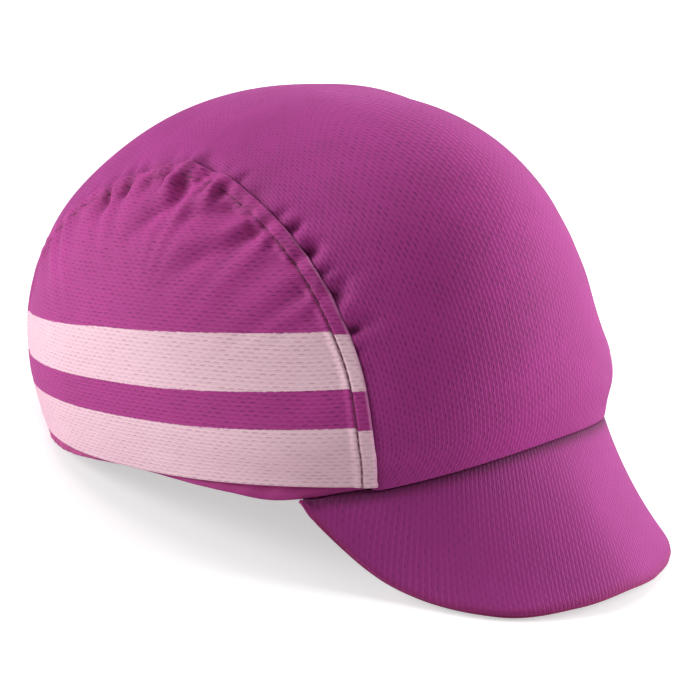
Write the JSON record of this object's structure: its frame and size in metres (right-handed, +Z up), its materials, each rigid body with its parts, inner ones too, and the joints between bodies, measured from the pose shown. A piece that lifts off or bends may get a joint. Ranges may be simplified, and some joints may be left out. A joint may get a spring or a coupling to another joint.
{
  "type": "cycling cap",
  "caption": "Soft knitted cycling cap with a broad centre panel, gathered side panels with pale stripes, and a short drooping peak.",
  "frame": {"origin": "middle of the footprint, on the surface that the cap rests on", "axes": "+Z up, the peak points to -Y, +X is the wearer's left"},
  "size_m": [0.1538, 0.2396, 0.1245],
  "materials": {
    "crown_knit": "matt open knit with a slight sheen",
    "side_knit": "matt open knit with two pale pink stripes",
    "band_knit": "matt terry knit",
    "casing_knit": "matt gathered knit over elastic",
    "peak_knit": "matt open knit stretched over a stiffener"
  },
  "bodies": {
    "root": {"crown_centre_panel": "crown_knit", "side_panel_right": "side_knit", "side_panel_left": "side_knit", "sweatband": "band_knit", "nape_casing": "casing_knit", "peak_upper": "peak_knit", "peak_under": "peak_knit"}
  },
  "joints": []
}
